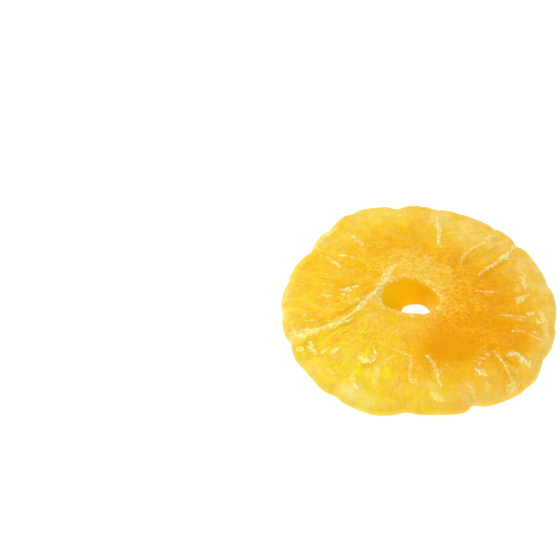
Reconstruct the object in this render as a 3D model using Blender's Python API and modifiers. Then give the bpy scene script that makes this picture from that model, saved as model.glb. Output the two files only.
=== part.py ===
"""A dried pineapple ring: a slice across the fruit with the core punched out, candied and dried.

The ring starts as a turned blank with a flat face, a flat underside and rounded edges. It is then
worked to shape as drying leaves it: the rim is notched between the fruitlets, each fruitlet swells
between two creases, the hole narrows towards the underside, the far side curls up off the table and
the face carries folds and fibres that run out from the core.

Angles are in degrees, anticlockwise from +X seen from above, round the fruit's core.
Run with: blender --background --python part.py
"""

import math
from collections import namedtuple

import bpy
from mathutils import Vector, noise

MM = 0.001

# Driving dimensions
RIM_RADIUS = 41.0 * MM
HOLE_RADIUS = 7.5 * MM
THICKNESS = 9.2 * MM

# The blank's rounded edges, as width by height
RIM_TOP_ROUND = (2.8 * MM, 4.0 * MM)
RIM_FOOT_ROUND = (4.0 * MM, 4.2 * MM)
HOLE_TOP_ROUND = (0.8 * MM, 0.7 * MM)
HOLE_FOOT_ROUND = (0.8 * MM, 0.8 * MM)

# Spans of the blank's section, and round the ring
FACE_SPANS = 11
UNDERSIDE_SPANS = 6
RIM_TOP_SPANS = 5
RIM_FOOT_SPANS = 4
HOLE_TOP_SPANS = 2
HOLE_FOOT_SPANS = 2
WALL_SPANS = 2
STEPS_ROUND = 150

# The hole's edge on the face, which drying has pulled out of round, and the round hole at its foot,
# which lies off the core
EdgePoint = namedtuple("EdgePoint", "angle radius")
HOLE_EDGE = (
    EdgePoint(0, 8.0 * MM),
    EdgePoint(32, 6.8 * MM),
    EdgePoint(75, 6.9 * MM),
    EdgePoint(120, 7.0 * MM),
    EdgePoint(160, 8.0 * MM),
    EdgePoint(188, 7.8 * MM),
    EdgePoint(210, 8.3 * MM),
    EdgePoint(247, 6.8 * MM),
    EdgePoint(280, 7.4 * MM),
    EdgePoint(307, 8.8 * MM),
    EdgePoint(335, 9.0 * MM),
)
HOLE_FOOT_RADIUS = 4.15 * MM
HOLE_FOOT_SHIFT = Vector((2.8 * MM, 0.3 * MM))
HOLE_ROUGHNESS = 0.20 * MM

# A crease between two fruitlets: where it meets the rim, the rim's radius beside it, how deep it
# notches the rim and grooves the face, and how far in it runs as a share of the ring's width.
Crease = namedtuple("Crease", "angle radius notch groove reach")
CREASES = (
    Crease(12, 44.1 * MM, 0.3 * MM, 0.16 * MM, 0.35),
    Crease(36, 45.4 * MM, 0.7 * MM, 0.42 * MM, 0.60),
    Crease(48, 45.8 * MM, 0.2 * MM, 0.26 * MM, 0.65),
    Crease(74, 45.0 * MM, 0.3 * MM, 0.29 * MM, 0.50),
    Crease(90, 44.5 * MM, 1.3 * MM, 0.29 * MM, 0.45),
    Crease(110, 44.1 * MM, 0.5 * MM, 0.23 * MM, 0.40),
    Crease(124, 40.2 * MM, 0.2 * MM, 0.13 * MM, 0.30),
    Crease(140, 37.2 * MM, 0.4 * MM, 0.29 * MM, 0.55),
    Crease(163, 36.8 * MM, 0.2 * MM, 0.13 * MM, 0.45),
    Crease(183, 36.8 * MM, 0.1 * MM, 0.2 * MM, 0.70),
    Crease(202, 37.7 * MM, 0.7 * MM, 0.36 * MM, 0.90),
    Crease(219, 39.4 * MM, 0.2 * MM, 0.16 * MM, 0.40),
    Crease(236, 41.4 * MM, 0.6 * MM, 0.26 * MM, 0.50),
    Crease(250, 42.6 * MM, 0.1 * MM, 0.13 * MM, 0.40),
    Crease(265, 40.3 * MM, 0.6 * MM, 0.29 * MM, 0.55),
    Crease(291, 42.2 * MM, 1.9 * MM, 0.49 * MM, 0.45),
    Crease(313, 43.8 * MM, 0.3 * MM, 0.33 * MM, 0.55),
    Crease(329, 42.2 * MM, 0.4 * MM, 0.2 * MM, 0.45),
    Crease(349, 42.6 * MM, 0.2 * MM, 0.13 * MM, 0.50),
)
NOTCH_WIDTH = 1.7 * MM
GROOVE_WIDTH = 1.7 * MM
RIM_SWELL = 0.35 * MM
FACE_SWELL = 0.2 * MM

# A fold on the face, from (angle, radius) to (angle, radius): raised where its height is positive
Fold = namedtuple("Fold", "start end height width")
FOLDS = (
    Fold((204, 10 * MM), (208, 38 * MM), 0.52 * MM, 1.4 * MM),
    Fold((195, 13 * MM), (204, 35 * MM), -0.39 * MM, 1.7 * MM),
    Fold((39, 21 * MM), (44, 38 * MM), 0.39 * MM, 1.3 * MM),
    Fold((24, 24 * MM), (33, 40 * MM), 0.42 * MM, 1.3 * MM),
    Fold((64, 25 * MM), (72, 39 * MM), 0.32 * MM, 1.2 * MM),
    Fold((119, 25 * MM), (119, 33 * MM), 0.24 * MM, 1.3 * MM),
    Fold((146, 22 * MM), (141, 31 * MM), 0.28 * MM, 1.3 * MM),
    Fold((163, 15 * MM), (171, 22 * MM), -0.32 * MM, 1.4 * MM),
    Fold((241, 24 * MM), (240, 30 * MM), 0.28 * MM, 1.4 * MM),
    Fold((264, 25 * MM), (265, 37 * MM), 0.24 * MM, 1.3 * MM),
    Fold((273, 25 * MM), (277, 38 * MM), 0.35 * MM, 1.3 * MM),
    Fold((296, 33 * MM), (297, 39 * MM), 0.32 * MM, 1.4 * MM),
    Fold((309, 30 * MM), (305, 42 * MM), 0.42 * MM, 1.4 * MM),
    Fold((315, 34 * MM), (316, 41 * MM), 0.35 * MM, 1.3 * MM),
    Fold((337, 25 * MM), (341, 34 * MM), 0.28 * MM, 1.2 * MM),
    Fold((5, 34 * MM), (15, 37 * MM), 0.28 * MM, 1.3 * MM),
)

# How the thickness changes across the ring, from the hole's edge to the rim
HOLE_EDGE_SINK = 0.5 * MM
RIM_SINK = 4.0 * MM
RIM_SINK_CHANGE = 0.5 * MM
THICK_RIM_ANGLE = 90
RIM_SINK_STARTS = 0.15
RIM_SINK_POWER = 1.4
UNDERSIDE_GROOVE_SHARE = 0.6

# How drying has curled the ring: each curl lifts the part beyond a line, as it lies from the core
Curl = namedtuple("Curl", "direction begins ends lift")
CURLS = (
    Curl(86, 9 * MM, 44 * MM, 2.4 * MM),
    Curl(318, 20 * MM, 43 * MM, 1.1 * MM),
    Curl(205, 24 * MM, 39 * MM, 0.5 * MM),
)
SAG_SIZE = 22 * MM
SAG_DEPTH = 0.5 * MM

# The fibres, which run out from the core and fan apart
FIBRES_ROUND = 7.0
FIBRE_LENGTH = 16 * MM
FIBRE_HEIGHT = 0.28 * MM
LUMP_SIZE = 4.5 * MM
LUMP_HEIGHT = 0.16 * MM

FLESH_COLOUR = (0.93, 0.54, 0.045, 1.0)
FLESH_ROUGHNESS = 0.42


def clear_scene():
    for item in list(bpy.data.objects):
        bpy.data.objects.remove(item, do_unlink=True)


def smooth_step(share):
    share = min(1.0, max(0.0, share))
    return share * share * (3 - 2 * share)


def bump(distance, width):
    """1 in the middle of a crease or fold, and nearly 0 once past its width."""
    return math.exp(-((distance / width) ** 2))


def turned_by(angle, other):
    """The turn from one angle to another, from -180 to 180 degrees."""
    return (other - angle + 180) % 360 - 180


def point_at(angle, radius):
    return Vector((math.cos(math.radians(angle)), math.sin(math.radians(angle)))) * radius


def quarter(centre, size, start, spans):
    """Points along a quarter of an ellipse, clockwise from the start angle, without the first."""
    steps = (start - 90 * i / spans for i in range(1, spans + 1))
    return [
        (
            centre[0] + size[0] * math.cos(math.radians(angle)),
            centre[1] + size[1] * math.sin(math.radians(angle)),
        )
        for angle in steps
    ]


def straight(start, end, spans):
    """Points along a straight run, without the first."""
    return [
        (
            start[0] + (end[0] - start[0]) * i / spans,
            start[1] + (end[1] - start[1]) * i / spans,
        )
        for i in range(1, spans + 1)
    ]


def blank_section():
    """The blank's section as a closed loop of (radius, height), out along the face and round."""
    face_start = (HOLE_RADIUS + HOLE_TOP_ROUND[0], THICKNESS)
    face_end = (RIM_RADIUS - RIM_TOP_ROUND[0], THICKNESS)
    rim_foot_top = (RIM_RADIUS, RIM_FOOT_ROUND[1])
    under_start = (RIM_RADIUS - RIM_FOOT_ROUND[0], 0.0)
    under_end = (HOLE_RADIUS + HOLE_FOOT_ROUND[0], 0.0)
    wall_foot = (HOLE_RADIUS, HOLE_FOOT_ROUND[1])
    wall_top = (HOLE_RADIUS, THICKNESS - HOLE_TOP_ROUND[1])

    loop = [face_start]
    loop += straight(face_start, face_end, FACE_SPANS)
    loop += quarter((face_end[0], THICKNESS - RIM_TOP_ROUND[1]), RIM_TOP_ROUND, 90, RIM_TOP_SPANS)
    loop += straight(loop[-1], rim_foot_top, 1)
    loop += quarter((under_start[0], RIM_FOOT_ROUND[1]), RIM_FOOT_ROUND, 0, RIM_FOOT_SPANS)
    loop += straight(under_start, under_end, UNDERSIDE_SPANS)
    loop += quarter((under_end[0], HOLE_FOOT_ROUND[1]), HOLE_FOOT_ROUND, -90, HOLE_FOOT_SPANS)
    loop += straight(wall_foot, wall_top, WALL_SPANS)
    loop += quarter((face_start[0], wall_top[1]), HOLE_TOP_ROUND, 180, HOLE_TOP_SPANS)
    return loop[:-1]


def turned_blank():
    """The section turned once round the hole with a Screw modifier, as a plain mesh."""
    loop = blank_section()
    profile = bpy.data.meshes.new("section")
    profile.from_pydata(
        [(radius, 0.0, height) for radius, height in loop],
        [(i, (i + 1) % len(loop)) for i in range(len(loop))],
        [],
    )
    turned = bpy.data.objects.new("turned", profile)
    bpy.context.scene.collection.objects.link(turned)
    screw = turned.modifiers.new("turn", "SCREW")
    screw.axis = "Z"
    screw.angle = math.tau
    screw.steps = STEPS_ROUND
    screw.render_steps = STEPS_ROUND
    screw.use_merge_vertices = True
    screw.merge_threshold = 0.00001
    bpy.context.view_layer.update()
    evaluated = turned.evaluated_get(bpy.context.evaluated_depsgraph_get())
    blank = bpy.data.meshes.new_from_object(evaluated)
    bpy.data.objects.remove(turned, do_unlink=True)
    return blank


def neighbours(marks, angle):
    """The marks on either side of an angle, and the share of the way from one to the next."""
    for before, after in zip(marks, marks[1:] + marks[:1]):
        span = (after.angle - before.angle) % 360
        gone = (angle - before.angle) % 360
        if gone < span:
            return before, after, gone / span
    raise ValueError(f"no marks on either side of {angle}")


def eased_radius(marks, angle):
    """The radius at an angle, eased from each mark's radius to the next one's."""
    before, after, share = neighbours(marks, angle)
    return before.radius + (after.radius - before.radius) * smooth_step(share)


def rim_radius(angle):
    radius = eased_radius(CREASES, angle)
    radius += RIM_SWELL * math.sin(math.pi * neighbours(CREASES, angle)[2]) ** 0.6
    for crease in CREASES:
        aside = math.radians(turned_by(crease.angle, angle)) * crease.radius
        radius -= crease.notch * bump(aside, NOTCH_WIDTH)
    return radius


def hole_foot(angle):
    """How far the round hole's edge lies from the core at the foot."""
    along = HOLE_FOOT_SHIFT.dot(point_at(angle, 1.0))
    return along + math.sqrt(HOLE_FOOT_RADIUS**2 - HOLE_FOOT_SHIFT.length_squared + along**2)


def hole_wall(angle, height_share):
    """How far the hole's wall lies from the core, from the foot (0) to the face (1)."""
    foot = hole_foot(angle)
    top = eased_radius(HOLE_EDGE, angle)
    toward = point_at(angle, 1.0)
    rough = noise.noise(Vector((toward.x * 3.1, toward.y * 3.1, height_share * 1.5 + 5.0)))
    return foot + (top - foot) * smooth_step(height_share) + HOLE_ROUGHNESS * rough


def crease_groove(angle, radius, across):
    """How deep the creases cut at a place, fading towards the core."""
    depth = 0.0
    for crease in CREASES:
        aside = math.radians(turned_by(crease.angle, angle)) * radius
        inside = smooth_step((across - (1 - crease.reach)) / 0.3)
        depth += crease.groove * inside * bump(aside, GROOVE_WIDTH)
    return depth


def fold_height(place):
    """How high the folds stand at a place on the face. Each fades at its two ends."""
    height = 0.0
    for fold in FOLDS:
        start = point_at(*fold.start)
        along = point_at(*fold.end) - start
        share = (place - start).dot(along) / along.length_squared
        nearest = start + along * min(1.0, max(0.0, share))
        height += fold.height * bump((place - nearest).length, fold.width)
    return height


def fibre_height(angle, radius, layer):
    """The fibres as long ridges that fan out, with low lumps between them."""
    toward = point_at(angle, FIBRES_ROUND)
    fibre = noise.noise(Vector((toward.x, toward.y, radius / FIBRE_LENGTH + layer)))
    place = point_at(angle, radius) / LUMP_SIZE
    lump = noise.noise(Vector((place.x, place.y, layer + 20.0)))
    return FIBRE_HEIGHT * fibre + LUMP_HEIGHT * lump


def curl_lift(place):
    """How far drying has lifted the underside off the table."""
    lift = 0.0
    for curl in CURLS:
        beyond = place.dot(point_at(curl.direction, 1.0)) - curl.begins
        lift += curl.lift * smooth_step(beyond / (curl.ends - curl.begins))
    return lift


def underside(angle, radius, across):
    place = point_at(angle, radius)
    lift = curl_lift(place)
    lift += UNDERSIDE_GROOVE_SHARE * crease_groove(angle, radius, across)
    lift += max(0.0, fibre_height(angle, radius, 40.0))
    return lift


def face(angle, radius, across):
    """The height of the face over the table."""
    place = point_at(angle, radius)
    height = THICKNESS + curl_lift(place)
    height -= HOLE_EDGE_SINK * (1 - smooth_step(across / 0.4))
    thick_side = math.cos(math.radians(turned_by(THICK_RIM_ANGLE, angle)))
    outward = max(0.0, (across - RIM_SINK_STARTS) / (1 - RIM_SINK_STARTS))
    height -= (RIM_SINK - RIM_SINK_CHANGE * thick_side) * outward**RIM_SINK_POWER
    sag = noise.noise(Vector((place.x / SAG_SIZE, place.y / SAG_SIZE, 3.0)))
    height += SAG_DEPTH * sag
    share = neighbours(CREASES, angle)[2]
    height += FACE_SWELL * math.sin(math.pi * share) ** 0.7 * smooth_step((across - 0.35) / 0.4)
    height -= crease_groove(angle, radius, across)
    height += fold_height(place)
    height += fibre_height(angle, radius, 0.0)
    return height


def dried(corner):
    """Where a corner of the blank ends up once the ring has dried."""
    angle = math.degrees(math.atan2(corner.y, corner.x)) % 360
    across = (corner.to_2d().length - HOLE_RADIUS) / (RIM_RADIUS - HOLE_RADIUS)
    height_share = corner.z / THICKNESS
    inner = hole_wall(angle, height_share)
    radius = inner + across * (rim_radius(angle) - inner)
    low = underside(angle, radius, across)
    high = face(angle, radius, across)
    place = point_at(angle, radius)
    return Vector((place.x, place.y, low + (high - low) * height_share))


def stand_on_origin(mesh):
    """Moves the ring so that the middle of its box stands on the origin."""
    corners = [vertex.co for vertex in mesh.vertices]
    low = Vector(min(corner[axis] for corner in corners) for axis in range(3))
    high = Vector(max(corner[axis] for corner in corners) for axis in range(3))
    foot = Vector(((low.x + high.x) / 2, (low.y + high.y) / 2, low.z))
    for vertex in mesh.vertices:
        vertex.co -= foot


def flesh_material():
    flesh = bpy.data.materials.new("pineapple_flesh")
    flesh.use_nodes = True
    shader = flesh.node_tree.nodes["Principled BSDF"]
    shader.inputs["Base Color"].default_value = FLESH_COLOUR
    shader.inputs["Roughness"].default_value = FLESH_ROUGHNESS
    shader.inputs["Metallic"].default_value = 0.0
    return flesh


def pineapple_ring(collection):
    mesh = turned_blank()
    mesh.name = "pineapple_ring"
    for vertex in mesh.vertices:
        vertex.co = dried(vertex.co.copy())
    stand_on_origin(mesh)
    mesh.materials.append(flesh_material())
    mesh.shade_smooth()
    mesh.update()
    ring = bpy.data.objects.new("pineapple_ring", mesh)
    collection.objects.link(ring)
    return ring


def main():
    clear_scene()
    collection = bpy.data.collections.new("dried_pineapple")
    bpy.context.scene.collection.children.link(collection)
    pineapple_ring(collection)


main()
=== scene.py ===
# %% [markdown]
# # Dressing a dried pineapple ring
# The workshop's solid has the ring's true size and main form. On the table the real ring is a slice of
# candied fruit: gold flesh that light sinks into, fibres that fan out from the core, creases between
# the fruitlets, and sugar that has dried white along every edge. This lesson adds all of that.

# %% The frame
import math
import random
from collections import namedtuple

import bpy
import numpy as np
from mathutils import Matrix, Vector, noise


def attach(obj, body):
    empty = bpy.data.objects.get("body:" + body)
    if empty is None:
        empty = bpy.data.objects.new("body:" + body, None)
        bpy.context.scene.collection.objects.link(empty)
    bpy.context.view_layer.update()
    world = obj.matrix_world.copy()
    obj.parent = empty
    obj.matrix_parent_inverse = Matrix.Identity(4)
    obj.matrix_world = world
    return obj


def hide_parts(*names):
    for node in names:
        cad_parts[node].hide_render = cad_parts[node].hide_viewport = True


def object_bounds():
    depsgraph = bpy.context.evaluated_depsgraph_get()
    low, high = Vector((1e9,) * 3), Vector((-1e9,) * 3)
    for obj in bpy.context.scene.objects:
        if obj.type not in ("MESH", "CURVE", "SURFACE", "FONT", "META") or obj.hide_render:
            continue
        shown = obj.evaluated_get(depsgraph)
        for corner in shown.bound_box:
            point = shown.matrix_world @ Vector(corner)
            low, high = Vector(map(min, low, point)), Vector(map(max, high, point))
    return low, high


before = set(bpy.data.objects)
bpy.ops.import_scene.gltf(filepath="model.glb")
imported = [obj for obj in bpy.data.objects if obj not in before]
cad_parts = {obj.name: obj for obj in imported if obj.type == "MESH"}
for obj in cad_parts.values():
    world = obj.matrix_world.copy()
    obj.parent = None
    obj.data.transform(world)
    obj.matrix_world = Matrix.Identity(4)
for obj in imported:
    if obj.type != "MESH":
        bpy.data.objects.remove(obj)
CAD_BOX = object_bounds()
MM = 0.001
print("solid's box, mm:", [[round(value / MM, 1) for value in corner] for corner in CAD_BOX])

# %% [markdown]
# ## The camera
# The ring lies to the right of the picture's middle, seen from about 41 degrees up. The camera could be
# turned until it looks right, but here it is worked out: where the ring's middle falls in the picture
# gives the line of sight, and the distance along that line gives the camera's place.

# %% Camera
IMAGE_SIDE = 560
SENSOR_WIDTH = 36.0
LENS = 70.0
LOOKS_DOWN = math.radians(41)
DISTANCE = 322 * MM
RING_MIDDLE = Vector((0, 0, 5 * MM))
RING_MIDDLE_PIXEL = (419.0, 300.0)


def place_camera():
    ahead = Vector((0, math.cos(LOOKS_DOWN), -math.sin(LOOKS_DOWN)))
    right = Vector((1, 0, 0))
    up = right.cross(ahead)
    pixels_ahead = IMAGE_SIDE * LENS / SENSOR_WIDTH
    sight = ahead * pixels_ahead
    sight += right * (RING_MIDDLE_PIXEL[0] - IMAGE_SIDE / 2)
    sight -= up * (RING_MIDDLE_PIXEL[1] - IMAGE_SIDE / 2)
    place = RING_MIDDLE - sight.normalized() * DISTANCE
    bpy.ops.object.camera_add(location=place, rotation=(math.pi / 2 - LOOKS_DOWN, 0, 0))
    camera = bpy.context.active_object
    camera.data.lens = LENS
    camera.data.sensor_width = SENSOR_WIDTH
    camera.data.clip_start = 1 * MM
    bpy.context.scene.camera = camera
    return camera


print("camera at, mm:", [round(value / MM, 1) for value in place_camera().location])

# %% [markdown]
# ## Soft white light
# The ring is lit as in a product picture: white from all round, with the strongest soft light high on
# the left behind it, so that creases get a light side and a dark side, and two weaker ones, overhead
# and in front, to fill them. The Standard view keeps the yellow as bright as it is. The other views
# wash strong yellows out.

# %% Lights
WHITE = (1.0, 1.0, 1.0, 1.0)
SKY_STRENGTH = 0.49
SoftLight = namedtuple("SoftLight", "name place side watts")
SOFT_LIGHTS = (
    SoftLight("window", (-0.42, 0.34, 0.50), 0.34, 2.6),
    SoftLight("overhead", (0.30, -0.10, 0.68), 0.60, 1.15),
    SoftLight("front", (0.15, -0.62, 0.40), 0.50, 1.35),
)


def add_soft_light(light):
    place = Vector(light.place)
    turn = (RING_MIDDLE - place).to_track_quat("-Z", "Y").to_euler()
    bpy.ops.object.light_add(type="AREA", location=place, rotation=turn)
    lamp = bpy.context.active_object
    lamp.name = light.name
    lamp.data.size = light.side
    lamp.data.energy = light.watts


def light_the_table():
    sky = bpy.data.worlds.new("sky")
    sky.use_nodes = True
    background = sky.node_tree.nodes["Background"]
    background.inputs["Color"].default_value = WHITE
    background.inputs["Strength"].default_value = SKY_STRENGTH
    bpy.context.scene.world = sky
    bpy.context.scene.view_settings.view_transform = "Standard"
    for light in SOFT_LIGHTS:
        add_soft_light(light)


light_the_table()
print("lights:", [light.name for light in SOFT_LIGHTS])

# %% [markdown]
# ## Helpers for picking and for materials
# An operator works on whatever is selected, so one helper makes a piece the only one chosen. Another
# adds a shader node and sets its sockets by name, which keeps the materials short to read.

# %% Helpers for pieces
def choose(piece):
    bpy.ops.object.select_all(action="DESELECT")
    piece.select_set(True)
    bpy.context.view_layer.objects.active = piece


def apply_modifier(piece, name, kind, **settings):
    modifier = piece.modifiers.new(name, kind)
    for setting, value in settings.items():
        setattr(modifier, setting, value)
    choose(piece)
    bpy.ops.object.modifier_apply(modifier=name)


print("helpers for pieces:", choose.__name__, apply_modifier.__name__)


# %% Helpers for materials
def new_material(name):
    """A material with its Principled shader, ready to be wired."""
    material = bpy.data.materials.new(name)
    material.use_nodes = True
    return material, material.node_tree, material.node_tree.nodes["Principled BSDF"]


def plug(tree, node, sockets):
    """Gives each socket its value, or links it where the value is another node's output."""
    for socket, value in sockets.items():
        if isinstance(value, bpy.types.NodeSocket):
            tree.links.new(value, node.inputs[socket])
        else:
            node.inputs[socket].default_value = value


def add_node(tree, kind, sockets=None, **settings):
    added = tree.nodes.new(kind)
    for setting, value in settings.items():
        setattr(added, setting, value)
    plug(tree, added, sockets or {})
    return added


def maths(tree, operation, first, second, clamp=False):
    added = add_node(tree, "ShaderNodeMath", {0: first, 1: second}, operation=operation)
    added.use_clamp = clamp
    return added.outputs[0]


def spread(tree, value, low, high, to_low=0.0, to_high=1.0):
    """Maps a value from one range to another, and holds it at the ends."""
    sockets = {"Value": value, "From Min": low, "From Max": high, "To Min": to_low, "To Max": to_high}
    return add_node(tree, "ShaderNodeMapRange", sockets).outputs["Result"]


def blend_colours(tree, share, first, second):
    """A mix of two colours. Sockets 6 and 7, and output 2, are the node's colour ones."""
    added = add_node(tree, "ShaderNodeMix", {0: share, 6: first, 7: second}, data_type="RGBA")
    return added.outputs[2]


print("helpers for materials:", plug.__name__, add_node.__name__, spread.__name__, blend_colours.__name__)

# %% [markdown]
# ## The light table
# The ring lies on a white sheet that glows a little, as on a light table. The glow fills the shadow
# under the ring and lets some light up through its thin rim, which is why such pictures have
# white ground and no dark edge.

# %% Table
FLOOR_SIDE = 6.0
FLOOR_WHITE = (0.34, 0.34, 0.34, 1.0)
FLOOR_GLOW = 0.85


def sheet_material():
    sheet, tree, shader = new_material("light_table")
    sockets = {
        "Base Color": FLOOR_WHITE,
        "Roughness": 0.9,
        "Specular IOR Level": 0.1,
        "Emission Color": WHITE,
        "Emission Strength": FLOOR_GLOW,
    }
    plug(tree, shader, sockets)
    return sheet


def make_floor():
    bpy.ops.object.select_all(action="DESELECT")
    bpy.ops.mesh.primitive_plane_add(size=FLOOR_SIDE)
    floor = bpy.context.active_object
    floor.name = "floor"
    floor.data.materials.append(sheet_material())
    return floor


print("table:", make_floor().name)

# %% [markdown]
# ## A ring that can be carved
# The solid has about ten thousand triangles, too large to carry fibres. Its own mesh stays as it is, so
# a copy is taken. Merging joins the copy's loose triangles, and a voxel remesh lays even faces all
# over it. Subdividing alone would keep the old edges as ridges, and a remesh doesn't. A short
# smoothing takes away the voxels' steps. Only the side that is seen needs finer faces than that, so
# the faces that look up are picked by their normals and subdivided once. The voxel is as small as a
# mesh of under 200,000 triangles allows.

# %% Copy and remesh
FACE_SIZE = 0.61 * MM
MERGE_DISTANCE = 0.01 * MM
LOOKS_UP = 0.35


def copy_of_solid():
    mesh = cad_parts["pineapple_ring"].data.copy()
    ring = bpy.data.objects.new("ring_flesh", mesh)
    bpy.context.scene.collection.objects.link(ring)
    mesh.materials.clear()
    choose(ring)
    bpy.ops.object.mode_set(mode="EDIT")
    bpy.ops.mesh.select_all(action="SELECT")
    bpy.ops.mesh.remove_doubles(threshold=MERGE_DISTANCE)
    bpy.ops.object.mode_set(mode="OBJECT")
    apply_modifier(ring, "even faces", "REMESH", mode="VOXEL", voxel_size=FACE_SIZE)
    apply_modifier(ring, "no steps", "SMOOTH", factor=0.5, iterations=4)
    return ring


def refine_face(ring):
    """Subdivides the faces that look up, so that the face can carry finer relief than the rest."""
    facing = np.empty(len(ring.data.polygons) * 3)
    ring.data.polygons.foreach_get("normal", facing)
    choose(ring)
    bpy.ops.object.mode_set(mode="EDIT")
    bpy.ops.mesh.select_mode(type="FACE")
    bpy.ops.mesh.select_all(action="DESELECT")
    bpy.ops.object.mode_set(mode="OBJECT")
    ring.data.polygons.foreach_set("select", facing[2::3] > LOOKS_UP)
    bpy.ops.object.mode_set(mode="EDIT")
    bpy.ops.mesh.subdivide(number_cuts=1)
    bpy.ops.object.mode_set(mode="OBJECT")
    apply_modifier(ring, "no facets", "SMOOTH", factor=0.5, iterations=2)


ring = copy_of_solid()
print("even faces:", len(ring.data.polygons))
refine_face(ring)
print("carving mesh:", len(ring.data.vertices), "vertices")

# %% [markdown]
# ## Where a place lies on the ring
# The fruit grew round its core, so every mark on it runs out from the core or round it. Each vertex is
# therefore given its angle and its distance from the core, how far it lies between the core and the
# rim, how far from the hole's edge, and how much it faces up. With the coordinates held in arrays,
# one line of sums reaches all the vertices at once. A few helpers shape such values. Easing makes a
# share start and end softly, which leaves no hard edge where one kind of surface meets another.

# %% Helpers for values
def vertex_values(mesh, name):
    values = np.empty(len(mesh.vertices) * 3)
    mesh.vertices.foreach_get(name, values)
    return values.reshape(-1, 3)


def ease(share):
    share = np.clip(share, 0.0, 1.0)
    return share * share * (3 - 2 * share)


def rise(values, start, end):
    """0 where the values are under start, 1 where they are over end, and eased in between."""
    return ease((values - start) / (end - start))


def at_least(low, share):
    """A share that would go from 0 to 1, made to go from low to 1."""
    return low + (1 - low) * share


def keep_in_box(points):
    low, high = (np.array(corner) for corner in CAD_BOX)
    return np.clip(points, low, high)


print("a share of one half, eased and kept up:", rise(0.5, 0.0, 1.0), at_least(0.4, 0.5))

# %% Ring coordinates
CORE = np.array((-3.4, -1.8)) * MM
SECTOR = 6
FACE_SLOPE = 0.7
FACE_LOWEST = 6.8 * MM
TURNED_TO = (0.05, 0.55)


def edge_profile(chosen, start, gather):
    """An edge's distance from the core for each vertex, gathered from the chosen ones near its angle."""
    sector = (np.degrees(angles[chosen]) // SECTOR).astype(int)
    edge = np.full(360 // SECTOR, start)
    gather.at(edge, sector, radii[chosen])
    middles = np.radians((np.arange(len(edge)) + 0.5) * SECTOR)
    return np.interp(angles, middles, edge, period=math.tau)


places = vertex_values(ring.data, "co")
normals = vertex_values(ring.data, "normal")
plan = places[:, :2] - CORE
angles = np.arctan2(plan[:, 1], plan[:, 0]) % math.tau
radii = np.hypot(plan[:, 0], plan[:, 1])
rim = edge_profile(radii > 0, 0.0, np.maximum)
out_to_rim = radii / rim
on_face = (normals[:, 2] > FACE_SLOPE) & (places[:, 2] > FACE_LOWEST)
hole_edge = edge_profile(on_face, rim.max(), np.minimum)
from_hole = radii - hole_edge
faces_up = rise(normals[:, 2], *TURNED_TO)
faces_down = rise(-normals[:, 2], *TURNED_TO)
print("rim from", round(rim.min() / MM, 1), "to", round(rim.max() / MM, 1), "mm from the core")
print("hole's edge from", round(hole_edge.min() / MM, 1), "to", round(hole_edge.max() / MM, 1), "mm")

# %% [markdown]
# ## Noise along the fibres
# Noise read at a vertex's own place gives round lumps. Noise read at a place made from the angle, which
# counts a lot, and the distance from the core, which counts little, gives long thin fibres that fan
# out. Going round the circle as a cosine and a sine keeps the two ends of the turn together.

# %% Noise fields
def field_at(points, layer=0.0):
    """Perlin noise at each point, from about -1 to 1. Another layer gives another pattern."""
    return np.array([noise.noise((x, y, z + layer)) for x, y, z in points.tolist()])


def along_fibres(count_round, length):
    """Places at which noise turns into fibres: how many there are in a radian, and how long."""
    return np.column_stack((np.cos(angles) * count_round, np.sin(angles) * count_round, radii / length))


def lumps(size, layer=0.0):
    return field_at(places / size, layer)


broad_fibres = field_at(along_fibres(11, 11 * MM), 3.0)
fine_fibres = field_at(along_fibres(34, 5 * MM), 8.0)
broad_lumps = lumps(3.4 * MM, 1.0)
fine_lumps = lumps(1.2 * MM, 2.0)
print("fibres reach", round(float(np.abs(fine_fibres).max()), 2))

# %% [markdown]
# ## Soft spots
# Several things change slowly over the ring: its colour, how cloudy it has dried, how fibrous or how
# grainy its surface is. Along the rim some spots also paint light and shade: a paler glow where light
# comes through the thin edge, and darker tone where shade falls on the lower right. Each is laid down
# as soft round spots, as with a large brush: a place as angle and distance from the core, a size and
# an amount, with angles in degrees and lengths in mm.

# %% Spots
Spot = namedtuple("Spot", "angle radius size amount")
FIBROUS_SPOTS = (
    Spot(180, 28, 12.0, 0.60),
    Spot(205, 24, 10.0, 0.65),
    Spot(225, 28, 11.0, 0.65),
    Spot(250, 30, 9.0, 0.40),
    Spot(155, 24, 9.0, 0.25),
    Spot(350, 34, 8.0, 0.30),
    Spot(12, 34, 7.0, 0.25),
    Spot(315, 36, 9.0, 0.50),
    Spot(268, 37, 8.0, 0.35),
    Spot(28, 30, 9.0, 0.40),
)
GRAINY_SPOTS = (
    Spot(100, 14, 6.0, 0.8),
    Spot(60, 15, 7.0, 0.9),
    Spot(20, 15, 7.5, 1.0),
    Spot(345, 15, 6.5, 0.9),
    Spot(318, 14, 5.0, 0.5),
    Spot(140, 13, 5.0, 0.6),
    Spot(265, 15, 6.0, 0.45),
    Spot(235, 18, 6.0, 0.5),
    Spot(110, 25, 7.0, 0.2),
    Spot(318, 30, 6.0, 0.55),
    Spot(345, 31, 7.0, 0.35),
    Spot(350, 24, 6.0, 0.25),
    Spot(320, 22, 6.0, 0.3),
    Spot(15, 33, 5.0, 0.25),
    Spot(230, 31, 8.0, 0.35),
    Spot(262, 36, 8.0, 0.40),
)


def ring_point(angle, radius):
    return np.array((math.cos(math.radians(angle)), math.sin(math.radians(angle)))) * radius * MM


def spots_at(spots):
    total = np.zeros(len(plan))
    for spot in spots:
        distance = np.linalg.norm(plan - ring_point(spot.angle, spot.radius), axis=1)
        total += spot.amount * np.exp(-((distance / (spot.size * MM)) ** 2))
    return total


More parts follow.
